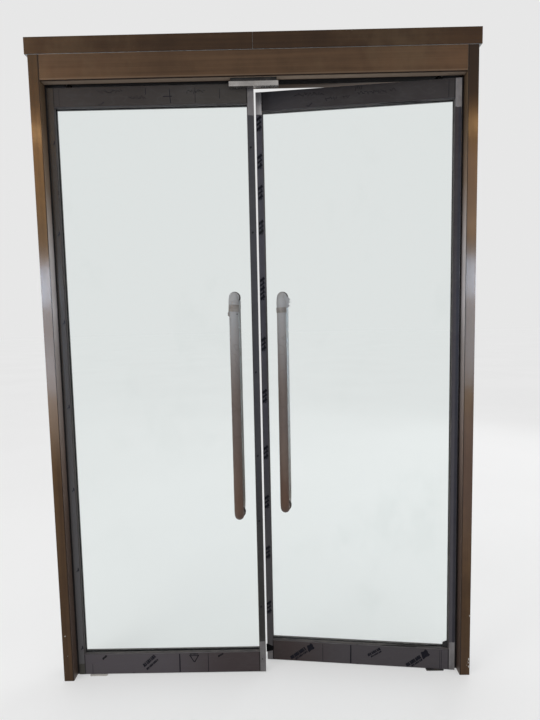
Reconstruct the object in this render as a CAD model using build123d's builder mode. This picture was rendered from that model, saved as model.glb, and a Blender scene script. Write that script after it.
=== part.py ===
from build123d import *
from math import hypot
import os

os.makedirs("parts", exist_ok=True)

# A pair of framed glass entrance doors hung in a metal-clad frame, with back-to-back pull
# handles, pivots at the heels and closers hidden in the head.
#
# Sizes are millimetres and angles are degrees. X runs to the viewer's right, +Y into the room
# behind the doors and +Z up. The origin is on the finished floor, midway between the jambs, in
# the plane of the pivots, which is the middle of a closed leaf's thickness.
# Every leaf piece is drawn left-handed and closed. The right leaf's pieces are mirrored, then
# swung about their pivot to the angle at which that leaf stands ajar.

# Opening and frame
OPENING_WIDTH = 1750
OPENING_HEIGHT = 2615
FRAME_DEPTH = 120
FRAME_SETBACK = 35
JAMB_FACE = 44
HEAD_FACE = 101
SHEET = 2
FOLD_RADIUS = 2.5
CASING_JOINT = 1
CORE_WALL = 3
CORE_RECESS = 2
BAND_HEIGHT = 68
BAND_OVERHANG = 12
BAND_JOINT = 1.5

# Holes for the screws that hold the jamb cores to the wall
FIXING_HOLE = 10.5
FIXING_SINK = 16
FIXING_SPACING_Y = 60
FIXING_FROM_FLOOR = 300
FIXING_BELOW_HEAD = 315

# Leaves and the gaps around them
LEAF_THICKNESS = 42
SIDE_GAP = 11
TOP_GAP = 15
FLOOR_GAP = 5
MEETING_GAP = 4
RIGHT_REST_ANGLE = 6

# Leaf profiles
STILE_WIDTH = 26
TOP_RAIL_HEIGHT = 78
BOTTOM_RAIL_HEIGHT = 96
PROFILE_WALL = 2.5
PROFILE_ROUND = 1
POCKET_DEPTH = 22

# Glass and glazing
GLASS_THICKNESS = 12
GLASS_BITE = 12
GLASS_CLEARANCE = 1
GLASS_ARRIS = 0.8
GASKET_WIDTH = 3
GASKET_DEPTH = 11
GASKET_SLOPE = 1.5
SETTING_BLOCK_LENGTH = 100
SETTING_BLOCK_WIDTH = 30

# Pull handles
PULL_CENTRES = 960
PULL_MID_HEIGHT = 1239
PULL_FROM_MIDDLE = 103
PULL_DIAMETER = 38
PULL_WALL = 3
PULL_REACH = 68
PULL_BEND = 42
PULL_PLUG = 14
ROSETTE_DIAMETER = 50
ROSETTE_THICKNESS = 3
ROSETTE_EDGE = 1
STUD_DIAMETER = 10
STUD_CLEARANCE = 0.3
STUD_BITE = 10
GLASS_HOLE = 14
WRAP_GAP = 0.3
WRAP_THICKNESS = 0.8
WRAP_START = 10

# Pivots
PIVOT_INSET = 90
SHOE_BEYOND_PIVOT = 55
SHOE_HEIGHT = 40
SHOE_CLEARANCE = 0.5
TOP_PIN_DIAMETER = 20
TOP_PIN_IN_CLOSER = 33
BOTTOM_PIN_DIAMETER = 16
BOTTOM_PIN_HEIGHT = 30
PIN_CLEARANCE = 0.05
PIN_WINDOW = 30
THRUST_DIAMETER = 26
THRUST_CLEARANCE = 0.3
FLOOR_PLATE_LENGTH = 80
FLOOR_PLATE_DEPTH = 58
FLOOR_PLATE_THICKNESS = 4
FLOOR_PLATE_ROUND = 6
FLOOR_SCREW_HOLE = 6.5
FLOOR_SCREW_SINK = 11
FLOOR_SCREW_SPACING = 56

# Closers in the head
CLOSER_HEEL = 50
CLOSER_LENGTH = 300
CLOSER_DEPTH = 90
CLOSER_HEIGHT = 60
CLOSER_ROUND = 6
CLOSER_FLANGE = 26
CLOSER_FLANGE_THICKNESS = 8
CLOSER_SCREW_DIAMETER = 8
CLOSER_SCREW_HEAD = 13
CLOSER_SCREW_HEAD_HEIGHT = 8
CLOSER_BORE_SPARE = 2

# Seals
SEAL_FRONT = -12
SEAL_BACK = 14
SEAL_RUNNING_GAP = 1
HEAD_SEAL_HEIGHT = 6
BRUSH_WIDTH = 8
BRUSH_HEIGHT = 4
BRUSH_FROM_PIVOT = 72
BRUSH_END_GAP = 10

# Stop bar under the head
STOP_LENGTH = 205
STOP_DEPTH = 22
STOP_HEIGHT = 20
STOP_CLEARANCE = 1
STOP_EDGE = 0.8
STOP_PACKER_LENGTH = 190
STOP_PACKER_DEPTH = 14
STOP_SCREW_DIAMETER = 6
STOP_SCREW_HEAD = 12
STOP_SCREW_SPACING = 140
SCREW_CLEARANCE = 0.2

# Protective film on the leaves, with the bare length at each stile's top and foot
FILM = 0.4
FILM_BARE = {
    "left": {"hinge_stile": (0, 47), "lock_stile": (123, 141)},
    "right": {"hinge_stile": (112, 129), "lock_stile": (89, 38)},
}

# Places that follow from the sizes
HALF_OPENING = OPENING_WIDTH / 2
LEAF_FRONT = -LEAF_THICKNESS / 2
FRAME_FRONT = LEAF_FRONT - FRAME_SETBACK
FRAME_BACK = FRAME_FRONT + FRAME_DEPTH
FRAME_MID_Y = (FRAME_FRONT + FRAME_BACK) / 2
HEAD_TOP = OPENING_HEIGHT + HEAD_FACE
BAND_TOP = HEAD_TOP + BAND_HEIGHT
BAND_HALF_LENGTH = HALF_OPENING + JAMB_FACE + BAND_OVERHANG
CORE_INNER = HALF_OPENING + SHEET
CORE_OUTER = HALF_OPENING + JAMB_FACE - CORE_RECESS
CORE_DEPTH = FRAME_DEPTH - 2 * SHEET
HEAD_CORE_BOTTOM = OPENING_HEIGHT + SHEET
HEAD_CORE_FLOOR = HEAD_CORE_BOTTOM + CORE_WALL
FIXING_HIGH = OPENING_HEIGHT - FIXING_BELOW_HEAD
FIXING_MID_Z = (FIXING_FROM_FLOOR + FIXING_HIGH) / 2
FIXING_SPACING_Z = FIXING_HIGH - FIXING_FROM_FLOOR

HEEL_X = -(HALF_OPENING - SIDE_GAP)
LOCK_EDGE_X = -MEETING_GAP / 2
LEAF_TOP = OPENING_HEIGHT - TOP_GAP
LEAF_HEIGHT = LEAF_TOP - FLOOR_GAP
PIVOT_X = HEEL_X + PIVOT_INSET
HINGE_SIGHT_X = HEEL_X + STILE_WIDTH
LOCK_SIGHT_X = LOCK_EDGE_X - STILE_WIDTH
RAIL_LENGTH = LOCK_SIGHT_X - HINGE_SIGHT_X
SIGHT_MID_X = (HINGE_SIGHT_X + LOCK_SIGHT_X) / 2
SIGHT_BOTTOM = FLOOR_GAP + BOTTOM_RAIL_HEIGHT
SIGHT_TOP = LEAF_TOP - TOP_RAIL_HEIGHT
SIGHT_MID_Z = (SIGHT_BOTTOM + SIGHT_TOP) / 2
SIGHT_HEIGHT = SIGHT_TOP - SIGHT_BOTTOM
CHAMBER_DEPTH = LEAF_THICKNESS - 2 * PROFILE_WALL
GLASS_FACE = GLASS_THICKNESS / 2
MOUTH = GLASS_THICKNESS + 2 * GLASS_CLEARANCE
BLOCK_HEIGHT = POCKET_DEPTH - GLASS_BITE

PULL_X = -PULL_FROM_MIDDLE
PULL_FOOT_Y = -(GLASS_FACE + ROSETTE_THICKNESS)
PULL_TUBE_Y = -(GLASS_FACE + PULL_REACH)
PULL_LOW = PULL_MID_HEIGHT - PULL_CENTRES / 2
PULL_HIGH = PULL_MID_HEIGHT + PULL_CENTRES / 2
SHOE_START = HINGE_SIGHT_X + SHOE_CLEARANCE
SHOE_END = PIVOT_X + SHOE_BEYOND_PIVOT
SHOE_LENGTH = SHOE_END - SHOE_START
SHOE_MID_X = (SHOE_START + SHOE_END) / 2
SHOE_DEPTH = CHAMBER_DEPTH - 2 * SHOE_CLEARANCE
CHAMBER_TOP = LEAF_TOP - PROFILE_WALL
CHAMBER_FLOOR = FLOOR_GAP + PROFILE_WALL

HEEL_SWEEP = hypot(PIVOT_INSET, LEAF_THICKNESS / 2) - PIVOT_INSET
JAMB_SEAL_WIDTH = SIDE_GAP - HEEL_SWEEP - SEAL_RUNNING_GAP
SEAL_DEPTH = SEAL_BACK - SEAL_FRONT
SEAL_MID_Y = (SEAL_FRONT + SEAL_BACK) / 2
CLOSER_START = PIVOT_X - CLOSER_HEEL
CLOSER_MID_X = CLOSER_START + CLOSER_LENGTH / 2
CLOSER_SCREW_X = CLOSER_LENGTH / 2 + CLOSER_FLANGE / 2
CLOSER_BORE_DEPTH = TOP_PIN_IN_CLOSER + CLOSER_BORE_SPARE
STOP_BACK = LEAF_FRONT - STOP_CLEARANCE
STOP_MID_Y = STOP_BACK - STOP_DEPTH / 2
STOP_TOP = LEAF_TOP
STOP_BOTTOM = STOP_TOP - STOP_HEIGHT
RIGHT_PIVOT = Axis((-PIVOT_X, 0, 0), (0, 0, 1))


def save(piece, name):
    """Labels a finished piece and writes it under its name."""
    piece.label = name
    export_step(piece, f"parts/{name}.step")


def mirrored(piece):
    """The right-hand copy of a piece of the frame."""
    return piece.mirror(Plane.YZ)


def hung_right(piece):
    """The right-hand copy of a leaf piece, standing ajar."""
    return mirrored(piece).rotate(RIGHT_PIVOT, -RIGHT_REST_ANGLE)


# The frame's steel cores and folded casings


def jamb_core():
    """A steel box section, countersunk for the screws that hold it to the wall."""
    with BuildPart() as core:
        with BuildSketch():
            with Locations((-(CORE_INNER + CORE_OUTER) / 2, FRAME_MID_Y)):
                Rectangle(CORE_OUTER - CORE_INNER, CORE_DEPTH)
                Rectangle(
                    CORE_OUTER - CORE_INNER - 2 * CORE_WALL,
                    CORE_DEPTH - 2 * CORE_WALL,
                    mode=Mode.SUBTRACT,
                )
        extrude(amount=HEAD_TOP)
        opening_side = Plane(
            origin=(-CORE_INNER, FRAME_MID_Y, FIXING_MID_Z), x_dir=(0, 1, 0), z_dir=(1, 0, 0)
        )
        with Locations(opening_side):
            with GridLocations(FIXING_SPACING_Y, FIXING_SPACING_Z, 2, 2):
                CounterSinkHole(FIXING_HOLE / 2, FIXING_SINK / 2, CORE_OUTER - CORE_INNER, 90)
    return core.part


def jamb_casing():
    """A folded sheet that covers the core's front, opening side and back."""
    with BuildPart() as casing:
        with BuildSketch():
            with Locations((-(HALF_OPENING + JAMB_FACE / 2), FRAME_MID_Y)):
                Rectangle(JAMB_FACE, FRAME_DEPTH)
            fillet(vertices().sort_by(Axis.X)[-2:], FOLD_RADIUS)
            with Locations((-(HALF_OPENING + SHEET + JAMB_FACE / 2), FRAME_MID_Y)):
                Rectangle(JAMB_FACE, CORE_DEPTH, mode=Mode.SUBTRACT)
        extrude(amount=HEAD_TOP)
        with BuildSketch(Plane.XY.offset(OPENING_HEIGHT)):
            with Locations((-(HALF_OPENING + SHEET / 2), FRAME_MID_Y)):
                Rectangle(2 * SHEET, CORE_DEPTH)
        extrude(amount=HEAD_FACE, mode=Mode.SUBTRACT)
    return casing.part


def head_core():
    """The steel box section over the opening, with windows for the pins and screws."""
    with BuildPart() as core:
        with BuildSketch(Plane.YZ.offset(-CORE_INNER)):
            with Locations((FRAME_MID_Y, (HEAD_CORE_BOTTOM + HEAD_TOP) / 2)):
                Rectangle(CORE_DEPTH, HEAD_TOP - HEAD_CORE_BOTTOM)
                Rectangle(
                    CORE_DEPTH - 2 * CORE_WALL,
                    HEAD_TOP - HEAD_CORE_BOTTOM - 2 * CORE_WALL,
                    mode=Mode.SUBTRACT,
                )
        extrude(amount=2 * CORE_INNER)
        with Locations((PIVOT_X, 0, HEAD_CORE_FLOOR), (-PIVOT_X, 0, HEAD_CORE_FLOOR)):
            Hole(PIN_WINDOW / 2, CORE_WALL)
        with Locations(*closer_screw_points(HEAD_CORE_FLOOR)):
            Hole(CLOSER_SCREW_DIAMETER / 2 + SCREW_CLEARANCE, CORE_WALL)
        with Locations((0, STOP_MID_Y, HEAD_CORE_FLOOR)):
            with GridLocations(STOP_SCREW_SPACING, 0, 2, 1):
                Hole(STOP_SCREW_DIAMETER / 2 + SCREW_CLEARANCE, CORE_WALL)
    return core.part


def head_casing():
    """A folded sheet under and beside the head core, between the jamb casings."""
    half_length = HALF_OPENING - CASING_JOINT
    with BuildPart() as casing:
        with BuildSketch(Plane.YZ.offset(-half_length)):
            with Locations((FRAME_MID_Y, OPENING_HEIGHT + HEAD_FACE / 2)):
                Rectangle(FRAME_DEPTH, HEAD_FACE)
            fillet(vertices().sort_by(Axis.Z)[:2], FOLD_RADIUS)
            with Locations((FRAME_MID_Y, HEAD_CORE_BOTTOM + HEAD_FACE / 2)):
                Rectangle(CORE_DEPTH, HEAD_FACE, mode=Mode.SUBTRACT)
        extrude(amount=2 * half_length)
        with Locations((PIVOT_X, 0, HEAD_CORE_BOTTOM), (-PIVOT_X, 0, HEAD_CORE_BOTTOM)):
            Hole(PIN_WINDOW / 2, SHEET)
        with Locations((0, STOP_MID_Y, HEAD_CORE_BOTTOM)):
            with GridLocations(STOP_SCREW_SPACING, 0, 2, 1):
                Hole(STOP_SCREW_DIAMETER / 2 + SCREW_CLEARANCE, SHEET)
    return casing.part


def head_packer():
    """The box section on top of the head and jambs that carries the trim band."""
    height = BAND_HEIGHT - SHEET
    half_length = BAND_HALF_LENGTH - SHEET
    with BuildPart() as packer:
        with BuildSketch(Plane.YZ.offset(-half_length)):
            with Locations((FRAME_MID_Y, HEAD_TOP + height / 2)):
                Rectangle(FRAME_DEPTH, height)
                Rectangle(FRAME_DEPTH - 2 * CORE_WALL, height - 2 * CORE_WALL, mode=Mode.SUBTRACT)
        extrude(amount=2 * half_length)
    return packer.part


def head_trim():
    """Half of the trim band: a sheet cap over the packer, closed at its outer end."""
    length = BAND_HALF_LENGTH - CASING_JOINT / 2
    low = HEAD_TOP + BAND_JOINT
    depth = FRAME_DEPTH + 2 * SHEET
    with BuildPart() as trim:
        with Locations((-CASING_JOINT / 2 - length / 2, FRAME_MID_Y, (low + BAND_TOP) / 2)):
            Box(length, depth, BAND_TOP - low)
        long_edges = edges().filter_by(Axis.X).group_by(Axis.Z)[-1]
        fillet(long_edges, FOLD_RADIUS)
        inner_mid_x = SHEET - CASING_JOINT / 2 - length / 2
        with Locations((inner_mid_x, FRAME_MID_Y, (low + BAND_TOP) / 2 - SHEET)):
            Box(length, FRAME_DEPTH, BAND_TOP - low, mode=Mode.SUBTRACT)
    return trim.part


# Seals, stop bar, closers and floor pivots


def jamb_seal():
    """The seal along a jamb, which the leaf's heel just clears as it turns."""
    with BuildPart() as seal:
        with BuildSketch():
            with Locations((-(HALF_OPENING - JAMB_SEAL_WIDTH / 2), SEAL_MID_Y)):
                Rectangle(JAMB_SEAL_WIDTH, SEAL_DEPTH)
            fillet(vertices().sort_by(Axis.X)[-2:], JAMB_SEAL_WIDTH / 4)
        extrude(amount=OPENING_HEIGHT - HEAD_SEAL_HEIGHT)
    return seal.part


def head_seal():
    """The seal along the soffit, above the closed leaves, with a window for each top pin."""
    with BuildPart() as seal:
        with Locations((0, SEAL_MID_Y, OPENING_HEIGHT - HEAD_SEAL_HEIGHT / 2)):
            Box(OPENING_WIDTH, SEAL_DEPTH, HEAD_SEAL_HEIGHT)
        with Locations((PIVOT_X, 0, OPENING_HEIGHT), (-PIVOT_X, 0, OPENING_HEIGHT)):
            Box(PIN_WINDOW, 3 * SEAL_DEPTH, 3 * HEAD_SEAL_HEIGHT, mode=Mode.SUBTRACT)
    return seal.part


def stop_bar():
    """The metal bar that a closing leaf meets, countersunk from below."""
    with BuildPart() as bar:
        with Locations((0, STOP_MID_Y, (STOP_TOP + STOP_BOTTOM) / 2)):
            Box(STOP_LENGTH, STOP_DEPTH, STOP_HEIGHT)
        chamfer(edges(), STOP_EDGE)
        underside = Plane(origin=(0, STOP_MID_Y, STOP_BOTTOM), z_dir=(0, 0, -1))
        with Locations(underside):
            with GridLocations(STOP_SCREW_SPACING, 0, 2, 1):
                CounterSinkHole(
                    STOP_SCREW_DIAMETER / 2 + SCREW_CLEARANCE,
                    STOP_SCREW_HEAD / 2 + SCREW_CLEARANCE,
                    STOP_HEIGHT,
                    90,
                )
    return bar.part


def stop_packer():
    """The dark packer that spaces the stop bar off the soffit."""
    with BuildPart() as packer:
        with Locations((0, STOP_MID_Y, (STOP_TOP + OPENING_HEIGHT) / 2)):
            Box(STOP_PACKER_LENGTH, STOP_PACKER_DEPTH, OPENING_HEIGHT - STOP_TOP)
        with Locations((0, STOP_MID_Y, OPENING_HEIGHT)):
            with GridLocations(STOP_SCREW_SPACING, 0, 2, 1):
                Hole(STOP_SCREW_DIAMETER / 2 + SCREW_CLEARANCE, OPENING_HEIGHT - STOP_TOP)
    return packer.part


def stop_screws():
    """Two countersunk screws, from the bar's underside into the head core."""
    radius = STOP_SCREW_DIAMETER / 2
    head_radius = STOP_SCREW_HEAD / 2
    with BuildPart() as screws:
        with BuildSketch(Plane.XZ) as half_section:
            with BuildLine():
                Polyline(
                    (0, STOP_BOTTOM),
                    (head_radius, STOP_BOTTOM),
                    (radius, STOP_BOTTOM + head_radius - radius),
                    (radius, HEAD_CORE_FLOOR),
                    (0, HEAD_CORE_FLOOR),
                    close=True,
                )
            make_face()
        revolve(axis=Axis.Z)
    screw = screws.part
    with BuildPart() as pair:
        with Locations((0, STOP_MID_Y, 0)):
            with GridLocations(STOP_SCREW_SPACING, 0, 2, 1):
                add(screw)
    return pair.part


def closer_screw_points(height):
    """Places of the closers' screws, two for each closer, at the given height."""
    reach = CLOSER_SCREW_X
    left = [(CLOSER_MID_X - reach, 0, height), (CLOSER_MID_X + reach, 0, height)]
    return left + [(-x, y, z) for x, y, z in left]


def closer():
    """A hydraulic closer's body, flanged at both ends, with the socket for the top pin."""
    with BuildPart() as body:
        with Locations((CLOSER_MID_X, 0, HEAD_CORE_FLOOR + CLOSER_HEIGHT / 2)):
            Box(CLOSER_LENGTH, CLOSER_DEPTH, CLOSER_HEIGHT)
        fillet(edges().filter_by(Axis.X), CLOSER_ROUND)
        with Locations((CLOSER_MID_X, 0, HEAD_CORE_FLOOR + CLOSER_FLANGE_THICKNESS / 2)):
            Box(CLOSER_LENGTH + 2 * CLOSER_FLANGE, CLOSER_DEPTH / 2, CLOSER_FLANGE_THICKNESS)
        with Locations(*closer_screw_points(HEAD_CORE_FLOOR + CLOSER_FLANGE_THICKNESS)[:2]):
            Hole(CLOSER_SCREW_DIAMETER / 2 + SCREW_CLEARANCE, CLOSER_FLANGE_THICKNESS)
        underside = Plane(origin=(PIVOT_X, 0, HEAD_CORE_FLOOR), z_dir=(0, 0, -1))
        with Locations(underside):
            Hole(TOP_PIN_DIAMETER / 2 + PIN_CLEARANCE, CLOSER_BORE_DEPTH)
    return body.part


def closer_screws():
    """Four cap screws that hold the closers to the head core's floor."""
    flange_top = HEAD_CORE_FLOOR + CLOSER_FLANGE_THICKNESS
    with BuildPart() as screws:
        with Locations(*closer_screw_points(HEAD_CORE_BOTTOM)):
            Cylinder(
                CLOSER_SCREW_DIAMETER / 2,
                flange_top - HEAD_CORE_BOTTOM,
                align=(Align.CENTER, Align.CENTER, Align.MIN),
            )
        with Locations(*closer_screw_points(flange_top)):
            Cylinder(
                CLOSER_SCREW_HEAD / 2,
                CLOSER_SCREW_HEAD_HEIGHT,
                align=(Align.CENTER, Align.CENTER, Align.MIN),
            )
    return screws.part


def floor_pivot():
    """The floor plate, its thrust shoulder and the pin that the leaf's bottom shoe turns on."""
    shoulder_top = CHAMBER_FLOOR - THRUST_CLEARANCE
    pin_top = FLOOR_PLATE_THICKNESS + BOTTOM_PIN_HEIGHT
    upwards = (Align.CENTER, Align.CENTER, Align.MIN)
    with BuildPart() as pivot:
        with BuildSketch():
            with Locations((PIVOT_X, 0)):
                RectangleRounded(FLOOR_PLATE_LENGTH, FLOOR_PLATE_DEPTH, FLOOR_PLATE_ROUND)
        extrude(amount=FLOOR_PLATE_THICKNESS)
        with Locations((PIVOT_X, 0, FLOOR_PLATE_THICKNESS)):
            with GridLocations(FLOOR_SCREW_SPACING, 0, 2, 1):
                CounterSinkHole(
                    FLOOR_SCREW_HOLE / 2, FLOOR_SCREW_SINK / 2, FLOOR_PLATE_THICKNESS, 90
                )
        with Locations((PIVOT_X, 0, 0)):
            Cylinder(THRUST_DIAMETER / 2, shoulder_top, align=upwards)
            Cylinder(BOTTOM_PIN_DIAMETER / 2, pin_top, align=upwards)
        chamfer(edges().group_by(Axis.Z)[-1], 1)
    return pivot.part


# The leaf's profiles, glass and glazing


def pull_plane(y, outwards):
    """A plane across the leaf at the pull's middle, with its local Y upright."""
    return Plane(origin=(PULL_X, y, PULL_MID_HEIGHT), x_dir=(1, 0, 0), z_dir=(0, outwards, 0))


def stile(outer_x, towards_glass):
    """A full-height hollow profile with its glazing mouth on the side that faces the glass."""
    mid_x = outer_x + towards_glass * STILE_WIDTH / 2
    sight_x = outer_x + towards_glass * STILE_WIDTH
    with BuildPart() as profile:
        with BuildSketch(Plane.XY.offset(FLOOR_GAP)):
            with Locations((mid_x, 0)):
                Rectangle(STILE_WIDTH, LEAF_THICKNESS)
            fillet(vertices(), PROFILE_ROUND)
            with Locations((mid_x, 0)):
                Rectangle(STILE_WIDTH - 2 * PROFILE_WALL, CHAMBER_DEPTH, mode=Mode.SUBTRACT)
            with Locations((sight_x, 0)):
                Rectangle(4 * PROFILE_WALL, MOUTH, mode=Mode.SUBTRACT)
        extrude(amount=LEAF_HEIGHT)
    return profile.part


def rail(outer_z, towards_glass, height):
    """A profile between the stiles: a closed chamber, a web and an open glazing pocket."""
    sight_z = outer_z + towards_glass * height
    chamber_height = height - POCKET_DEPTH - 2 * PROFILE_WALL
    chamber_z = outer_z + towards_glass * (PROFILE_WALL + chamber_height / 2)
    pocket_height = POCKET_DEPTH - PROFILE_WALL
    pocket_z = sight_z - towards_glass * (PROFILE_WALL + pocket_height / 2)
    with BuildPart() as profile:
        with BuildSketch(Plane.YZ.offset(HINGE_SIGHT_X)):
            with Locations((0, outer_z + towards_glass * height / 2)):
                Rectangle(LEAF_THICKNESS, height)
            fillet(vertices(), PROFILE_ROUND)
            with Locations((0, chamber_z)):
                Rectangle(CHAMBER_DEPTH, chamber_height, mode=Mode.SUBTRACT)
            with Locations((0, pocket_z)):
                Rectangle(CHAMBER_DEPTH, pocket_height, mode=Mode.SUBTRACT)
            with Locations((0, sight_z)):
                Rectangle(MOUTH, 4 * PROFILE_WALL, mode=Mode.SUBTRACT)
        extrude(amount=RAIL_LENGTH)
        with Locations((PIVOT_X, 0, outer_z)):
            Cylinder(PIN_WINDOW / 2, 4 * PROFILE_WALL, mode=Mode.SUBTRACT)
    return profile.part


def glass():
    """The pane, drilled for the pull handles' studs."""
    width = RAIL_LENGTH + 2 * GLASS_BITE
    height = SIGHT_HEIGHT + 2 * GLASS_BITE
    with BuildPart() as pane:
        with Locations((SIGHT_MID_X, 0, SIGHT_MID_Z)):
            Box(width, GLASS_THICKNESS, height)
        chamfer(edges().filter_by(Axis.Y, reverse=True), GLASS_ARRIS)
        with Locations(pull_plane(-GLASS_FACE, -1)):
            with GridLocations(0, PULL_CENTRES, 1, 2):
                Hole(GLASS_HOLE / 2, GLASS_THICKNESS)
    return pane.part


def gaskets():
    """The front and back glazing gaskets, each one ring with a sloped inner lip."""
    with BuildPart() as rings:
        with BuildSketch(Plane.XZ.offset(GLASS_FACE)):
            with Locations((SIGHT_MID_X, SIGHT_MID_Z)):
                Rectangle(RAIL_LENGTH, SIGHT_HEIGHT)
                Rectangle(
                    RAIL_LENGTH - 2 * GASKET_WIDTH,
                    SIGHT_HEIGHT - 2 * GASKET_WIDTH,
                    mode=Mode.SUBTRACT,
                )
        extrude(amount=GASKET_DEPTH)
        inner_lip = faces().sort_by(Axis.Y)[0].inner_wires()[0].edges()
        chamfer(inner_lip, GASKET_SLOPE)
        mirror(about=Plane.XZ)
    return rings.part


def setting_blocks():
    """Two blocks in the bottom rail's pocket that carry the glass."""
    with BuildPart() as blocks:
        with Locations((SIGHT_MID_X, 0, SIGHT_BOTTOM - GLASS_BITE - BLOCK_HEIGHT / 2)):
            with GridLocations(RAIL_LENGTH / 2, 0, 2, 1):
                Box(SETTING_BLOCK_LENGTH, SETTING_BLOCK_WIDTH, BLOCK_HEIGHT)
    return blocks.part


# The pull handles


def pull_path(start_y):
    """A pull's centre line, from one foot out, along the grip and back to the other foot."""
    return FilletPolyline(
        (start_y, PULL_LOW),
        (PULL_TUBE_Y, PULL_LOW),
        (PULL_TUBE_Y, PULL_HIGH),
        (start_y, PULL_HIGH),
        radius=PULL_BEND,
    )


def pull_sweep(start_y, outer_radius, inner_radius=0):
    """A round bar or tube swept along the pull's centre line."""
    with BuildPart() as bar:
        with BuildLine(Plane.YZ.offset(PULL_X)) as path:
            pull_path(start_y)
        foot = Plane(origin=(PULL_X, start_y, PULL_LOW), z_dir=(0, -1, 0))
        with BuildSketch(foot):
            Circle(outer_radius)
            if inner_radius:
                Circle(inner_radius, mode=Mode.SUBTRACT)
        sweep(path=path.line)
    return bar.part


def pull():
    """The front pull: a bent tube, plugged at both feet and bored there for its studs."""
    tube = pull_sweep(PULL_FOOT_Y, PULL_DIAMETER / 2)
    bore = pull_sweep(PULL_FOOT_Y - PULL_PLUG, PULL_DIAMETER / 2 - PULL_WALL)
    with BuildPart() as handle:
        add(tube)
        add(bore, mode=Mode.SUBTRACT)
        with Locations(pull_plane(PULL_FOOT_Y, 1)):
            with GridLocations(0, PULL_CENTRES, 1, 2):
                Hole(STUD_DIAMETER / 2 + STUD_CLEARANCE, STUD_BITE + STUD_CLEARANCE)
    return handle.part


def pull_wrap():
    """The paper sleeve wound on the front pull."""
    inner_radius = PULL_DIAMETER / 2 + WRAP_GAP
    return pull_sweep(PULL_FOOT_Y - WRAP_START, inner_radius + WRAP_THICKNESS, inner_radius)


def rosettes():
    """Four round plates, between the glass and the pulls' feet."""
    with BuildPart() as plates:
        for face, outwards in ((-GLASS_FACE, -1), (GLASS_FACE, 1)):
            with BuildSketch(pull_plane(face, outwards)):
                with GridLocations(0, PULL_CENTRES, 1, 2):
                    Circle(ROSETTE_DIAMETER / 2)
                    Circle(STUD_DIAMETER / 2 + STUD_CLEARANCE, mode=Mode.SUBTRACT)
            extrude(amount=ROSETTE_THICKNESS)
        rims = edges().filter_by(GeomType.CIRCLE).filter_by(lambda rim: rim.radius > STUD_DIAMETER)
        outer_rims = rims.filter_by(
            lambda rim: abs(rim.center().Y) > GLASS_FACE + ROSETTE_THICKNESS / 2
        )
        chamfer(outer_rims, ROSETTE_EDGE)
    return plates.part


def pull_studs():
    """Two threaded studs that clamp the front and back pulls through the glass."""
    half_length = GLASS_FACE + ROSETTE_THICKNESS + STUD_BITE
    with BuildPart() as studs:
        with Locations(pull_plane(0, 1)):
            with GridLocations(0, PULL_CENTRES, 1, 2):
                Cylinder(STUD_DIAMETER / 2, 2 * half_length)
    return studs.part


# The leaf's pivot shoes, floor brush and protective film


def top_pivot():
    """The steel shoe in the top rail, with the pin that turns in the closer."""
    pin_top = HEAD_CORE_FLOOR + TOP_PIN_IN_CLOSER
    with BuildPart() as shoe:
        with Locations((SHOE_MID_X, 0, CHAMBER_TOP - SHOE_HEIGHT / 2)):
            Box(SHOE_LENGTH, SHOE_DEPTH, SHOE_HEIGHT)
        with Locations((PIVOT_X, 0, CHAMBER_TOP)):
            Cylinder(
                TOP_PIN_DIAMETER / 2,
                pin_top - CHAMBER_TOP,
                align=(Align.CENTER, Align.CENTER, Align.MIN),
            )
        chamfer(edges().group_by(Axis.Z)[-1], 1)
    return shoe.part


def bottom_pivot():
    """The steel shoe in the bottom rail, bored for the floor pin."""
    with BuildPart() as shoe:
        with Locations((SHOE_MID_X, 0, CHAMBER_FLOOR + SHOE_HEIGHT / 2)):
            Box(SHOE_LENGTH, SHOE_DEPTH, SHOE_HEIGHT)
        with Locations((PIVOT_X, 0, CHAMBER_FLOOR + SHOE_HEIGHT)):
            Hole(BOTTOM_PIN_DIAMETER / 2 + PIN_CLEARANCE, SHOE_HEIGHT)
    return shoe.part


def bottom_brush():
    """The brush strip under the bottom rail, clear of the floor plate."""
    start = PIVOT_X + BRUSH_FROM_PIVOT
    end = LOCK_EDGE_X - BRUSH_END_GAP
    with BuildPart() as brush:
        with Locations(((start + end) / 2, 0, FLOOR_GAP - BRUSH_HEIGHT / 2)):
            Box(end - start, BRUSH_WIDTH, BRUSH_HEIGHT)
    return brush.part


def film(mid_x, width, low, high):
    """Two sheets of film, one on the front and one on the back of a profile."""
    with BuildPart() as sheets:
        for face_y in (LEAF_FRONT - FILM / 2, -LEAF_FRONT + FILM / 2):
            with Locations((mid_x, face_y, (low + high) / 2)):
                Box(width, FILM, high - low)
    return sheets.part


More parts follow.
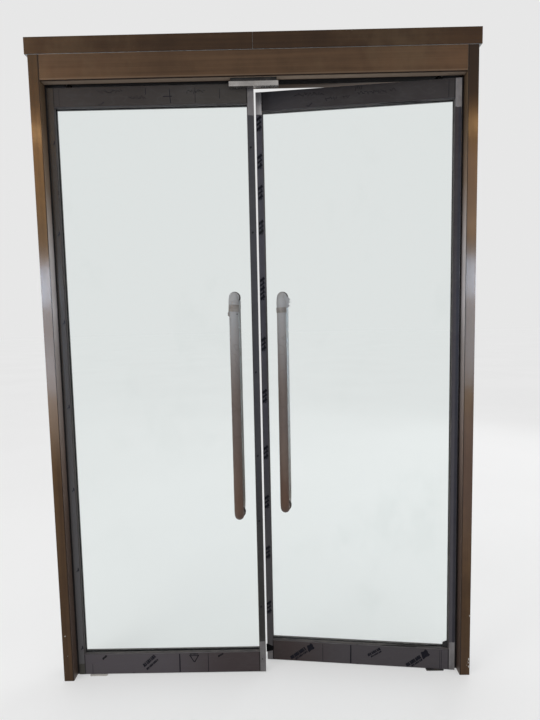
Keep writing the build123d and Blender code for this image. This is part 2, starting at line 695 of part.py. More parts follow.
def leaf_pieces(side):
    """Every piece of one leaf by name, drawn left-handed and closed."""
    hinge_top, hinge_foot = FILM_BARE[side]["hinge_stile"]
    lock_top, lock_foot = FILM_BARE[side]["lock_stile"]
    hinge_mid_x = HEEL_X + STILE_WIDTH / 2
    lock_mid_x = LOCK_EDGE_X - STILE_WIDTH / 2
    film_width = STILE_WIDTH - 2 * PROFILE_ROUND
    front_pull = pull()
    front_wrap = pull_wrap()
    return {
        "hinge_stile": stile(HEEL_X, 1),
        "lock_stile": stile(LOCK_EDGE_X, -1),
        "top_rail": rail(LEAF_TOP, -1, TOP_RAIL_HEIGHT),
        "bottom_rail": rail(FLOOR_GAP, 1, BOTTOM_RAIL_HEIGHT),
        "glass": glass(),
        "gaskets": gaskets(),
        "setting_blocks": setting_blocks(),
        "front_pull": front_pull,
        "rear_pull": front_pull.mirror(Plane.XZ),
        "front_pull_wrap": front_wrap,
        "rear_pull_wrap": front_wrap.mirror(Plane.XZ),
        "rosettes": rosettes(),
        "pull_studs": pull_studs(),
        "top_pivot": top_pivot(),
        "bottom_pivot": bottom_pivot(),
        "bottom_brush": bottom_brush(),
        "hinge_stile_film": film(
            hinge_mid_x, film_width, FLOOR_GAP + hinge_foot, LEAF_TOP - hinge_top
        ),
        "lock_stile_film": film(lock_mid_x, film_width, FLOOR_GAP + lock_foot, LEAF_TOP - lock_top),
        "top_rail_film": film(
            SIGHT_MID_X, RAIL_LENGTH, SIGHT_TOP + PROFILE_ROUND, LEAF_TOP - PROFILE_ROUND
        ),
        "bottom_rail_film": film(
            SIGHT_MID_X, RAIL_LENGTH, FLOOR_GAP + PROFILE_ROUND, SIGHT_BOTTOM - PROFILE_ROUND
        ),
    }


# Write every piece

for name, make in (
    ("jamb_core", jamb_core),
    ("jamb_casing", jamb_casing),
    ("jamb_seal", jamb_seal),
    ("head_trim", head_trim),
    ("closer", closer),
    ("floor_pivot", floor_pivot),
):
    left_piece = make()
    save(mirrored(left_piece), f"right_{name}")
    save(left_piece, f"left_{name}")

save(head_core(), "head_core")
save(head_casing(), "head_casing")
save(head_packer(), "head_packer")
save(head_seal(), "head_seal")
save(stop_bar(), "stop_bar")
save(stop_packer(), "stop_packer")
save(stop_screws(), "stop_screws")
save(closer_screws(), "closer_screws")

for name, piece in leaf_pieces("left").items():
    save(piece, f"left_{name}")

for name, piece in leaf_pieces("right").items():
    save(hung_right(piece), f"right_{name}")
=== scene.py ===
"""Dresses the glass entrance door: paper sleeves, protective film, brushes and every finish."""

from math import cos, pi, radians, sin
from random import Random

import bpy
from mathutils import Matrix, Vector


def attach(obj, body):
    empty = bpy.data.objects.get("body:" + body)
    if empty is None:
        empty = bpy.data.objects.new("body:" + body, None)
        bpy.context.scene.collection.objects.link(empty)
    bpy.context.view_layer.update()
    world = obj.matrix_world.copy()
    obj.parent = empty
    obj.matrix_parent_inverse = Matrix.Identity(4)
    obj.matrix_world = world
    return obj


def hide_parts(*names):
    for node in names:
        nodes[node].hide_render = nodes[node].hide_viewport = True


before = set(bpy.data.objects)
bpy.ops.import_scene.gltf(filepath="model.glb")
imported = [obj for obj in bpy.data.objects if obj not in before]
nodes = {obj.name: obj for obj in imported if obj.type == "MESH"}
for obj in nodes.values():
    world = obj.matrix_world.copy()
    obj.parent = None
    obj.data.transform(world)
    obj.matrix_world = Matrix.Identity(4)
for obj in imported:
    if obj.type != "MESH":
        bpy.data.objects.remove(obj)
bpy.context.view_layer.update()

MM = 0.001

# Sizes shared with the CAD model, in millimetres

PIVOT_X = 774
RIGHT_AJAR = radians(6)
FRAME_FRONT = -56
LEAF_FACE = 21
FILM = 0.4
HINGE_FILM = (-863, -837.8)
LOCK_FILM = (-28.2, -3)
RAIL_FILM = (-838, -28)
TOP_RAIL_Z = (2521.8, 2599)
BOTTOM_RAIL_Z = (6, 101.2)
STILE_FILM_Z = {
    "left": {"hinge": (52, 2600), "lock": (146, 2477)},
    "right": {"hinge": (134, 2488), "lock": (43, 2511)},
}
PULL_X = 103
PULL_Y = 74
PULL_LOW = 759
PULL_HIGH = 1719
PULL_BEND = 42
SLEEVE_START_Y = 19
SLEEVE_RADIUS = 20.1
BRUSH_X = (-702, -12)

# Where the film lies on a profile and how finely it is cut, in millimetres

FILM_LIFT = 0.05
FILM_GRID = 9
INK_LIFT = 0.16


# The photograph's camera

CAMERA_PLACE = (57.3, -2100, 1621.3)
CAMERA_YAW = radians(-0.343)
CAMERA_PITCH = radians(-4.839)
CAMERA_ROLL = radians(-1.157)
CAMERA_LENS = 23.942


def make_camera():
    """A pinhole camera at the photograph's viewpoint, turned by yaw, pitch and roll."""
    data = bpy.data.cameras.new("camera")
    data.lens = CAMERA_LENS
    data.sensor_width = 36
    data.clip_end = 200
    ahead = Vector(
        (
            sin(CAMERA_YAW) * cos(CAMERA_PITCH),
            cos(CAMERA_YAW) * cos(CAMERA_PITCH),
            sin(CAMERA_PITCH),
        )
    )
    level = Vector((cos(CAMERA_YAW), -sin(CAMERA_YAW), 0))
    above = level.cross(ahead)
    right = cos(CAMERA_ROLL) * level + sin(CAMERA_ROLL) * above
    up = cos(CAMERA_ROLL) * above - sin(CAMERA_ROLL) * level
    turn = Matrix((right, up, -ahead)).transposed().to_4x4()
    camera = bpy.data.objects.new("camera", data)
    camera.matrix_world = Matrix.Translation(Vector(CAMERA_PLACE) * MM) @ turn
    bpy.context.scene.collection.objects.link(camera)
    bpy.context.scene.camera = camera


make_camera()


# Finishes, whose nodes are written as expressions


def paint(red, green, blue):
    """A colour as a paint chart gives it, 0 to 255, made linear."""
    linear = (
        ((c / 255 + 0.055) / 1.055) ** 2.4 if c > 10 else c / 3295 for c in (red, green, blue)
    )
    return (*linear, 1)


class Value:
    """A node's output, on which sums are written as in Python."""

    def __init__(self, finish, socket):
        self.finish = finish
        self.socket = socket

    def sum(self, operation, *terms):
        return self.finish.node(
            "ShaderNodeMath", {"operation": operation}, dict(enumerate(terms))
        )

    def __add__(self, other):
        return self.sum("ADD", self, other)

    def __sub__(self, other):
        return self.sum("SUBTRACT", self, other)

    def __rsub__(self, other):
        return self.sum("SUBTRACT", other, self)

    def __mul__(self, other):
        return self.sum("MULTIPLY", self, other)

    __radd__ = __add__
    __rmul__ = __mul__

    def step(self, low, high):
        """0 below low, 1 above high, and smooth between; high below low turns it round."""
        return self.finish.node(
            "ShaderNodeMapRange",
            {"interpolation_type": "SMOOTHSTEP"},
            {0: self, 1: low, 2: high},
        )

    def size(self):
        return self.sum("ABSOLUTE", self)


class Finish:
    """A material whose Principled shader has its steady values set and its patterns added."""

    def __init__(self, name, **steady):
        self.material = bpy.data.materials.new(name)
        self.material.use_nodes = True
        self.tree = self.material.node_tree
        self.shader = self.tree.nodes["Principled BSDF"]
        for socket, value in steady.items():
            self.shader.inputs[socket.replace("_", " ")].default_value = value
        self.place = self.node("ShaderNodeTexCoord", output="Object")

    def node(self, kind, settings=None, inputs=None, output=0):
        made = self.tree.nodes.new(kind)
        for setting, value in (settings or {}).items():
            if setting == "stops":
                ramp = made.color_ramp.elements
                while len(ramp) < len(value):
                    ramp.new(0.5)
                for stop, (position, colour) in zip(ramp, value):
                    stop.position = position
                    stop.color = colour
            else:
                setattr(made, setting, value)
        for socket, value in (inputs or {}).items():
            if isinstance(value, Value):
                self.tree.links.new(value.socket, made.inputs[socket])
            else:
                made.inputs[socket].default_value = value
        return Value(self, made.outputs[output])

    def axis(self, index, place=None):
        return self.node("ShaderNodeSeparateXYZ", inputs={0: place or self.place}, output=index)

    def turned(self, angle, about_x):
        """Object coordinates turned back about an upright line, for the leaf that stands ajar."""
        place = self.place
        for moved in ({1: (-about_x, 0, 0)}, {2: (0, 0, angle)}, {1: (about_x, 0, 0)}):
            place = self.node("ShaderNodeMapping", inputs={0: place, **moved})
        return place

    def noise(self, per_metre, detail=3, roughness=0.55, place=None, seed=0, turn=(0, 0, 0)):
        """Cloudy noise about 0.5, with its own scale along each axis."""
        shift = (seed, seed * 0.7, seed * 1.3)
        mapped = self.node(
            "ShaderNodeMapping", inputs={0: place or self.place, 1: shift, 2: turn, 3: per_metre}
        )
        return self.node("ShaderNodeTexNoise", inputs={0: mapped, 2: 1, 3: detail, 4: roughness})

    def specks(self, per_metre, spread, place=None):
        """1 at scattered round specks and 0 between them."""
        mapped = self.node("ShaderNodeMapping", inputs={0: place or self.place, 3: per_metre})
        cells = self.node("ShaderNodeTexVoronoi", {"feature": "F1"}, {0: mapped, 2: 1})
        return cells.step(spread, spread * 0.5)

    def mix(self, factor, under, over):
        return self.node(
            "ShaderNodeMix", {"data_type": "RGBA"}, {0: factor, 6: under, 7: over}, output=2
        )

    def colour(self, value):
        self.feed("Base Color", value)

    def rough(self, value):
        self.feed("Roughness", value)

    def feed(self, socket, value):
        self.tree.links.new(value.socket, self.shader.inputs[socket])

    def bump(self, height, depth_mm, strength=1.0):
        """Raises the surface by up to depth_mm where height is 1."""
        lifted = {"Height": height, "Distance": depth_mm * MM, "Strength": strength}
        self.feed("Normal", self.node("ShaderNodeBump", inputs=lifted))


def bronze(name, light, dark, along, arris=None, turn=0.0):
    """Brushed bronze sheet, with its hairlines along the axis numbered along."""
    sheet = Finish(
        name,
        Metallic=0.6,
        Roughness=0.4,
        Anisotropic=0.6,
        Anisotropic_Rotation=turn,
        Specular_IOR_Level=0.12,
        Coat_Weight=0.22,
        Coat_Roughness=0.13,
    )
    fine = [900, 900, 900]
    broad = [60, 60, 60]
    fine[along] = 3
    broad[along] = 0.9
    hairlines = sheet.noise(tuple(fine), detail=2)
    streaks = sheet.noise(tuple(broad), detail=3)
    smudges = sheet.noise((7, 7, 5), detail=4, roughness=0.65, seed=3)
    tone = hairlines * 0.35 + streaks * 0.4 + smudges * 0.45
    base = sheet.mix(tone.step(0.4, 0.8), dark, light)
    worn = sheet.noise((2.3, 2.3, 1.7), detail=5, roughness=0.7, seed=9).step(0.5, 0.72)
    base = sheet.mix(worn * 0.3, base, paint(104, 86, 64))
    base = sheet.mix(sheet.specks((70, 70, 70), 0.07) * 0.4, base, paint(130, 112, 90))
    if arris:
        base, dull = arris(sheet, base)
        sheet.feed("Metallic", 0.6 - dull * 0.5)
    sheet.colour(base)
    sheet.rough(0.32 + smudges * 0.14 + hairlines * 0.06)
    sheet.bump(hairlines + streaks * 0.5, 0.03, 0.5)
    return sheet.material


# Places on the casings in metres, and the painted reflections up the jamb's side, as tones by share
# of its height

JAMB_SIDE_X = (0.8764, 0.8756)
JAMB_FOLD_LINE_X = 0.8776
HEAD_FOLD_Z = 2.6192
SOFFIT_Z = (2.6164, 2.6152)
SOFFIT_BACK_Y = (0.024, 0.016)
PAINTED_LIGHT_BAND_FRONT_Y = (-0.049, -0.043)
PAINTED_LIGHT_BAND_BACK_Y = (-0.014, -0.02)
TONED_HEIGHT = 2.8
JAMB_SIDE_PAINTED_REFLECTIONS = (
    (0.0, paint(94, 79, 72)),
    (0.27, paint(114, 97, 88)),
    (0.38, paint(154, 136, 126)),
    (0.54, paint(198, 190, 187)),
    (0.6, paint(242, 236, 236)),
    (0.68, paint(236, 229, 227)),
    (0.78, paint(164, 144, 126)),
    (0.88, paint(118, 98, 78)),
)


def jamb_arris(sheet, base):
    """The jamb's painted reflections and shade up its height, a dark line along its fold, and a
    duller side to the leaf.
    """
    across = sheet.axis(0)
    out = across.size()
    height = sheet.axis(2)
    east = across.step(-0.1, 0.1)
    # Painted reflections and shade up the jamb: a darker foot and top, a paler waist, a grey
    # reflection, a darker band, and on the right jamb a cool reflection and a lighter band.
    painted_dark_foot = height.step(1.3, 0.5) * (0.45 - east * 0.45) + height.step(0.6, 0.2) * east * 0.45
    top = height.step(2.4, 2.54) * (0.55 + east * 0.4)
    painted_pale_waist = height.step(1.62, 1.4) * height.step(0.95, 1.25)
    painted_grey_reflection = height.step(1.98, 1.86) * height.step(1.2, 1.5)
    shaded = height.step(1.86, 1.94) * height.step(2.1, 2.0)
    painted_cool_reflection = height.step(1.3, 1.1) * height.step(0.3, 0.9)
    rubbed = height.step(1.9, 2.02) * height.step(2.38, 2.25)
    # All of these are mixed into the colour as painted light and shade.
    for share, tone in (
        (painted_dark_foot, paint(54, 36, 26)),
        (top, paint(44, 31, 22)),
        (painted_pale_waist * (0.65 - east * 0.45), paint(132, 112, 96)),
        (painted_grey_reflection * 0.25, paint(112, 108, 108)),
        (shaded * (0.3 - east * 0.3), paint(60, 44, 30)),
        (painted_cool_reflection * east * 0.35, paint(100, 84, 84)),
        (rubbed * east * 0.35, paint(134, 108, 88)),
    ):
        base = sheet.mix(share, base, tone)
    # The side to the leaf: painted reflections up its height, from the ramp of tones.
    side = out.step(*JAMB_SIDE_X)
    side_painted_reflection = sheet.node(
        "ShaderNodeValToRGB", {"stops": JAMB_SIDE_PAINTED_REFLECTIONS}, {0: height * (1 / TONED_HEIGHT)}
    )
    base = sheet.mix(side * 0.9, base, side_painted_reflection)
    # A dark line along the fold.
    dark_fold_line = (out - JAMB_FOLD_LINE_X).size().step(0.0028, 0.0014)
    return sheet.mix(dark_fold_line * 0.75, base, paint(24, 17, 12)), side


def head_arris(sheet, base):
    """The head's fold with a painted highlight, and a soffit in painted shade with a band of painted
    light along its front.
    """
    height = sheet.axis(2)
    deep = sheet.axis(1)
    # Painted highlight along the head's fold.
    rubbed = (height - HEAD_FOLD_Z).size().step(0.0032, 0.0012)
    base = sheet.mix(rubbed * 0.35, base, paint(126, 108, 90))
    # Painted shade over the soffit, and a band of painted light along its front.
    soffit = height.step(*SOFFIT_Z) * deep.step(*SOFFIT_BACK_Y)
    pale = deep.step(*PAINTED_LIGHT_BAND_FRONT_Y) * deep.step(*PAINTED_LIGHT_BAND_BACK_Y)
    base = sheet.mix(soffit * 0.85, base, paint(40, 31, 25))
    return sheet.mix(soffit * pale, base, paint(172, 152, 134)), soffit


def satin_metal(name, light, dark, along, roughness=0.3, worn=0.3, painted_end=None, metallic=0.85):
    """Satin metal lined along one axis, with handling marks, dust and perhaps one end painted over
    in another tone, as painted shade at a foot and painted light at a top.
    """
    metal = Finish(name, Metallic=metallic, Roughness=roughness)
    fine = [1200, 1200, 1200]
    fine[along] = 8
    lines = metal.noise(tuple(fine), detail=2)
    marks = metal.noise((14, 14, 9), detail=4, roughness=0.65, seed=5)
    tone = (lines * 0.4 + marks * 0.6).step(0.35, 0.68)
    base = metal.mix(tone, dark, light)
    dust = metal.noise((40, 40, 40), detail=4, seed=2).step(0.55, 0.75)
    base = metal.mix(dust * worn, base, paint(150, 142, 132))
    if painted_end:
        plain_z, painted_z, stain = painted_end
        # One end painted over in another tone, as painted shade at a foot and painted light at a
        # top.
        base = metal.mix(metal.axis(2).step(plain_z, painted_z) * 0.9, base, stain)
    metal.colour(base)
    metal.rough(roughness - 0.08 + marks * 0.16 + dust * 0.12)
    metal.bump(lines, 0.02, 0.4)
    return metal.material


def galvanised():
    """Zinc on steel: a spangle of crystals that differ in tone and gloss."""
    zinc = Finish("galvanised_steel", Metallic=0.85, Roughness=0.45)
    mapped = zinc.node("ShaderNodeMapping", inputs={0: zinc.place, 3: (90, 90, 70)})
    warp = zinc.noise((60, 60, 60), detail=2)
    crystals = zinc.node(
        "ShaderNodeTexVoronoi", {"feature": "F1"}, {0: mapped, 2: 1}, output="Color"
    )
    shade = zinc.node("ShaderNodeRGBToBW", inputs={0: crystals})
    rust = zinc.noise((9, 9, 5), detail=5, roughness=0.7, seed=4).step(0.62, 0.78)
    base = zinc.mix(shade * 0.7 + warp * 0.3, paint(128, 131, 134), paint(172, 175, 176))
    zinc.colour(zinc.mix(rust * 0.35, base, paint(132, 112, 92)))
    zinc.rough(0.36 + shade * 0.22)
    zinc.bump(shade * 0.6 + warp * 0.4, 0.05, 0.3)
    return zinc.material


def cast_body():
    """Painted cast metal with a fine orange-peel skin."""
    cast = Finish("closer_body", Metallic=0.3, Roughness=0.45)
    peel = cast.noise((700, 700, 700), detail=2)
    cloud = cast.noise((22, 22, 22), detail=4, seed=6)
    chips = cast.specks((45, 45, 45), 0.12)
    base = cast.mix(cloud.step(0.35, 0.7), paint(70, 72, 74), paint(98, 100, 102))
    cast.colour(cast.mix(chips * 0.6, base, paint(150, 150, 148)))
    cast.rough(0.38 + cloud * 0.2)
    cast.bump(peel, 0.06, 0.5)
    return cast.material


def pivot_steel():
    """Machined steel with turning lines, a grey skin and a little rust."""
    steel = Finish("pivot_steel", Metallic=1.0, Roughness=0.35)
    turned = steel.noise((60, 60, 1600), detail=2)
    skin = steel.noise((30, 30, 30), detail=4, roughness=0.6, seed=8)
    rust = skin.step(0.58, 0.74)
    base = steel.mix(skin.step(0.3, 0.7), paint(92, 92, 94), paint(138, 137, 136))
    steel.colour(steel.mix(rust * 0.4, base, paint(118, 88, 62)))
    steel.rough(0.26 + skin * 0.2 + rust * 0.2)
    steel.bump(turned, 0.03, 0.4)
    return steel.material


def rubber(name, dark, light, dusty=0.35, shine=0.35):
    """Black rubber, dulled by dust and site handling."""
    black = Finish(name, Roughness=0.6, Specular_IOR_Level=shine)
    drawn = black.noise((900, 900, 25), detail=2)
    dust = black.noise((26, 26, 14), detail=5, roughness=0.7, seed=7).step(0.45, 0.75)
    base = black.mix(dust * dusty, dark, light)
    black.colour(black.mix(black.specks((120, 120, 120), 0.1) * 0.4, base, paint(130, 122, 112)))
    black.rough(0.48 + dust * 0.3)
    black.bump(drawn, 0.05, 0.4)
    return black.material


def gasket_rubber():
    """The glass gasket: grey with dusty patches on its face, and painted shade, near black, against
    the glass.
    """
    gasket = Finish("gasket_rubber", Roughness=0.65, Specular_IOR_Level=0.3)
    deep = gasket.axis(1).size().step(0.009, 0.0076)
    dust = gasket.noise((22, 22, 22), detail=4, roughness=0.65, seed=7).step(0.4, 0.7)
    base = gasket.mix(dust, paint(74, 71, 71), paint(92, 88, 86))
    # Painted shade, near black, where the gasket meets the glass.
    gasket.colour(gasket.mix(deep * 0.85, base, paint(14, 13, 14)))
    gasket.rough(0.55 + dust * 0.2)
    gasket.bump(dust, 0.1, 0.3)
    return gasket.material


def clear_glass():
    """Clear toughened glass with faint smears, which lets light through where a shadow ray asks."""
    pane = Finish("clear_glass", Transmission_Weight=1.0, IOR=1.45, Roughness=0.0)
    smears = pane.noise((3, 3, 2), detail=5, roughness=0.6, seed=11, turn=(0, 0.6, 0))
    smeared = smears.step(0.5, 0.8) * 0.5
    pane.colour(pane.mix(smeared, paint(244, 249, 248), paint(228, 236, 234)))
    shadow = pane.node("ShaderNodeLightPath", output="Is Shadow Ray")
    through = pane.node("ShaderNodeBsdfTransparent", inputs={0: (0.9, 0.93, 0.92, 1)})
    clear = Value(pane, pane.shader.outputs[0])
    shaded = pane.node("ShaderNodeMixShader", inputs={0: shadow, 1: clear, 2: through})
    out = pane.tree.nodes["Material Output"]
    pane.tree.links.new(shaded.socket, out.inputs["Surface"])
    return pane.material


def film_finish(name, near, far, along, span, leaf_side, strip_x=None, joints=()):
    """Dark protective film: two tones along one axis, soft creases, scuffs and dark cut edges."""
    film = Finish(
        name, Roughness=0.4, Specular_IOR_Level=0.12, Coat_Weight=0.03, Coat_Roughness=0.15
    )
    place = film.turned(RIGHT_AJAR, PIVOT_X * MM) if leaf_side == "right" else film.place
    where = film.axis(along, place).step(span[0] * MM, span[1] * MM)
    base = film.mix(where, near, far)
    across = film.axis(0, place)
    if strip_x:
        outer = across.step((strip_x - 3) * MM, (strip_x + 3) * MM)
        base = film.mix(outer * 0.8, base, paint(42, 42, 50))
    cloud = film.noise((7, 7, 7), detail=3, place=place, seed=2)
    base = film.mix(cloud.step(0.4, 0.75) * 0.16, base, paint(84, 81, 80))
    creases = film.noise((9, 9, 26), detail=2, place=place, seed=5, turn=(0, 0.7, 0))
    ridge = (creases - 0.5).size().step(0.05, 0.0)
    base = film.mix(ridge * 0.05, base, paint(104, 102, 104))
    scuffs = film.specks((60, 60, 60), 0.06, place)
    base = film.mix(scuffs * 0.3, base, paint(130, 126, 122))
    for joint in joints:
        line = (across - joint * MM).size().step(0.0032, 0.0012)
        base = film.mix(line * 0.85, base, paint(16, 14, 15))
    film.colour(base)
    film.rough(0.36 + cloud * 0.14 + ridge * 0.1)
    film.bump(cloud * 0.6 + ridge * 0.4, 0.2, 0.25)
    return film.material


def ink_finish(name, deep, worn_to, wear):
    """Printed ink that has rubbed thin in places."""
    ink = Finish(name, Roughness=0.45, Specular_IOR_Level=0.08)
    rubbed = ink.noise((160, 160, 160), detail=3, seed=4).step(0.42, 0.7)
    ink.colour(ink.mix(rubbed * wear, deep, worn_to))
    ink.rough(0.36 + rubbed * 0.2)
    return ink.material


def paper_with_painted_light(name, painted_dark_foot, middle, top):
    """Wrapping paper: painted light, greyer and paler, at the top, painted shade, warm and darker,
    below, and painted shade along its folds.
    """
    paper = Finish(name, Roughness=0.75, Specular_IOR_Level=0.25, Sheen_Weight=0.15)
    height = paper.axis(2)
    fibres = paper.noise((260, 260, 700), detail=4, roughness=0.7, seed=1)
    blotches = paper.noise((16, 16, 5), detail=4, roughness=0.6, seed=3)
    folds = paper.noise((12, 12, 16), detail=1, seed=6, turn=(0, 0.9, 0.4))
    ridge = (folds - 0.5).size().step(0.03, 0.0)
    # Painted shade towards the foot and painted light towards the top.
    low = paper.mix(height.step(0.75, 1.25), painted_dark_foot, middle)
    base = paper.mix(height.step(1.25, 1.72), low, top)
    base = paper.mix(blotches.step(0.35, 0.75) * 0.22, base, paint(134, 120, 108))
    # Painted shade along the folds.
    base = paper.mix(ridge * 0.16, base, paint(70, 56, 46))
    paper.colour(paper.mix(fibres.step(0.5, 0.8) * 0.2, base, paint(72, 58, 46)))
    paper.rough(0.62 + fibres * 0.2)
    paper.bump(fibres * 0.25 + ridge * 0.6 + blotches * 0.3, 0.5, 0.5)
    return paper.material


def tape_finish():
    """Pale masking tape with a crepe texture."""
    tape = Finish("masking_tape", Roughness=0.6, Specular_IOR_Level=0.3)
    crepe = tape.noise((30, 30, 900), detail=3)
    stain = tape.noise((50, 50, 50), detail=3, seed=4)
    tape.colour(tape.mix(stain.step(0.35, 0.7), paint(120, 113, 107), paint(142, 136, 130)))
    tape.rough(0.5 + crepe * 0.2)
    tape.bump(crepe, 0.15, 0.6)
    return tape.material


def fibre_finish():
    """Dark nylon bristles, greyed by dust towards their tips."""
    fibre = Finish("brush_fibre", Roughness=0.55)
    tips = fibre.axis(2).step(0.0042, 0.0012)
    strands = fibre.noise((2500, 2500, 60), detail=2)
    base = fibre.mix(strands.step(0.3, 0.7), paint(26, 26, 28), paint(58, 56, 55))
    fibre.colour(fibre.mix(tips * 0.5, base, paint(110, 104, 96)))
    fibre.rough(0.45 + strands * 0.2)
    return fibre.material


def paint_flecks_finish():
    """Dry splashes of white paint."""
    splash = Finish("dry_paint", Roughness=0.6)
    grain = splash.noise((900, 900, 900), detail=3)
    splash.colour(splash.mix(grain.step(0.35, 0.7), paint(196, 192, 186), paint(232, 229, 224)))
    splash.rough(0.5 + grain * 0.2)
    return splash.material


JAMB_BRONZE = bronze("bronze_casing", paint(101, 75, 46), paint(70, 50, 30), 2, jamb_arris)
HEAD_BRONZE = bronze("bronze_head", paint(92, 69, 49), paint(70, 51, 35), 0, head_arris, 0.25)
# The trim is the same bronze painted darker, as painted shade for the dark surround it reflects.
SHADED_TRIM_BRONZE = bronze("bronze_trim", paint(70, 50, 32), paint(50, 34, 21), 0, None, 0.25)
LEAF_TONES = (paint(126, 123, 124), paint(98, 95, 96))
# Painted shade on the left hinge stile's bare foot.
PAINTED_SHADE_FOOT = (0.075, 0.055, paint(52, 50, 42))
# Painted light on the right lock stile's bare top, paler than the rest.
PAINTED_LIGHT_TOP = (2.495, 2.51, paint(200, 196, 196))
LEAF_METAL = satin_metal("leaf_profile", *LEAF_TONES, 2, metallic=0.55)
PAINTED_SHADE_FOOT_METAL = satin_metal(
    "leaf_profile_painted_shade_foot", *LEAF_TONES, 2, painted_end=PAINTED_SHADE_FOOT, metallic=0.55
)
PAINTED_LIGHT_TOP_METAL = satin_metal(
    "leaf_profile_painted_light_top", *LEAF_TONES, 2, painted_end=PAINTED_LIGHT_TOP, metallic=0.55
)
RAIL_METAL = satin_metal("leaf_rail_profile", *LEAF_TONES, 0, metallic=0.55)
SATIN_STEEL = satin_metal("satin_steel", paint(176, 172, 169), paint(136, 132, 129), 0, 0.26, 0.2)
GALVANISED = galvanised()
CLOSER = cast_body()
PIVOT = pivot_steel()
RUBBER = rubber("black_rubber", paint(20, 19, 20), paint(62, 58, 54))
SEAL_RUBBER = rubber("seal_rubber", paint(28, 26, 26), paint(50, 46, 44), 0.3, 0.1)
JAMB_RUBBER = rubber("jamb_seal_rubber", paint(40, 38, 39), paint(66, 62, 60), 0.4, 0.2)
GASKET = gasket_rubber()
PACKER = rubber("dark_packer", paint(34, 33, 33), paint(74, 70, 66), 0.5)
GLASS = clear_glass()
# The paper's tones from foot to top hold painted shade below and painted light above.
PAPER = paper_with_painted_light("paper_wrap", paint(90, 66, 52), paint(98, 86, 80), paint(153, 152, 151))
# The rear paper is the same paper painted paler, as painted light.
PAINTED_LIGHT_REAR_PAPER = paper_with_painted_light(
    "rear_paper_wrap_painted_light", paint(160, 150, 142), paint(202, 199, 197), paint(222, 221, 222)
)
ROSETTE = satin_metal("rosette_steel", paint(84, 78, 75), paint(56, 51, 49), 0, 0.34, 0.15)
DUSTY_PLATE = satin_metal(
    "dusty_plate", paint(226, 222, 216), paint(198, 194, 188), 0, 0.6, 0.3, metallic=0.1
)
OILED = satin_metal("oiled_pivot", paint(46, 43, 41), paint(28, 26, 25), 2, 0.3, 0.1)
TAPE = tape_finish()
FIBRE = fibre_finish()
FLECKS = paint_flecks_finish()
INK = ink_finish("film_ink", paint(18, 18, 27), paint(40, 39, 44), 0.35)
FAINT_INK = ink_finish("film_faint_ink", paint(26, 25, 28), paint(44, 42, 44), 0.6)
TORN_TAPE = rubber("torn_tape", paint(7, 7, 9), paint(30, 28, 30), 0.3, 0.05)

FINISH_OF = {
    "jamb_core": GALVANISED,
    "jamb_casing": JAMB_BRONZE,
    "head_core": GALVANISED,
    "head_casing": HEAD_BRONZE,
    "head_packer": GALVANISED,
    "head_trim": SHADED_TRIM_BRONZE,
    "jamb_seal": JAMB_RUBBER,
    "head_seal": SEAL_RUBBER,
    "stop_bar": SATIN_STEEL,
    "stop_packer": PACKER,
    "stop_screws": SATIN_STEEL,
    "closer": CLOSER,
    "closer_screws": PIVOT,
    "floor_pivot": PIVOT,
    "hinge_stile": LEAF_METAL,
    "lock_stile": LEAF_METAL,
    "top_rail": RAIL_METAL,
    "bottom_rail": RAIL_METAL,
    "glass": GLASS,
    "gaskets": GASKET,
    "setting_blocks": PACKER,
    "front_pull": SATIN_STEEL,
    "rear_pull": SATIN_STEEL,
    "rosettes": ROSETTE,
    "pull_studs": PIVOT,
    "top_pivot": OILED,
    "bottom_pivot": PIVOT,
    "front_pull_wrap": PAPER,
    "rear_pull_wrap": PAPER,
    "bottom_brush": FIBRE,
    "hinge_stile_film": INK,
    "lock_stile_film": INK,
    "top_rail_film": INK,
    "bottom_rail_film": INK,
}

FINISH_BY_NAME = {
    "left_hinge_stile": PAINTED_SHADE_FOOT_METAL,
    "right_lock_stile": PAINTED_LIGHT_TOP_METAL,
    "left_floor_pivot": DUSTY_PLATE,
}


def dress_cad():
    """Gives every CAD node its finish."""
    for name, node in nodes.items():
        kind = name.removeprefix("left_").removeprefix("right_")
        finish = FINISH_BY_NAME.get(name, FINISH_OF[kind])
        for slot in node.material_slots:
            slot.material = finish


dress_cad()


# Work on one piece at a time


def deselect():
    if bpy.context.object and bpy.context.object.mode != "OBJECT":
        bpy.ops.object.mode_set(mode="OBJECT")
    bpy.ops.object.select_all(action="DESELECT")


def hold(piece):
    """Leaves one piece alone selected and active."""
    deselect()
    piece.select_set(True)
    bpy.context.view_layer.objects.active = piece


def take(name):
    """Names the primitive that was just added and settles its size and turn into its mesh."""
    piece = bpy.context.active_object
    piece.name = name
    hold(piece)
    bpy.ops.object.transform_apply(location=True, rotation=True, scale=True)
    return piece


def edit(piece, chosen, kind="VERT"):
    """Opens a piece in edit mode with the vertices, edges or faces that chosen accepts selected."""
    hold(piece)
    mesh = piece.data
    bpy.ops.object.mode_set(mode="EDIT")
    bpy.ops.mesh.select_mode(type=kind)
    bpy.ops.mesh.select_all(action="DESELECT")
    bpy.ops.object.mode_set(mode="OBJECT")
    parts = {"VERT": mesh.vertices, "EDGE": mesh.edges, "FACE": mesh.polygons}[kind]
    for part in parts:
        part.select = chosen(part)
    bpy.ops.object.mode_set(mode="EDIT")


def apply(piece, kind, **settings):
    """Adds a modifier with its settings and applies it at once."""
    hold(piece)
    made = piece.modifiers.new(kind.lower(), kind)
    for setting, value in settings.items():
        setattr(made, setting, value)
    bpy.ops.object.modifier_apply(modifier=made.name)


def joined(name, pieces):
    deselect()
    for piece in pieces:
        piece.select_set(True)
    bpy.context.view_layer.objects.active = pieces[0]
    if len(pieces) > 1:
        bpy.ops.object.join()
    pieces[0].name = name
    return pieces[0]


def coat(piece, material):
    piece.data.materials.clear()
    piece.data.materials.append(material)


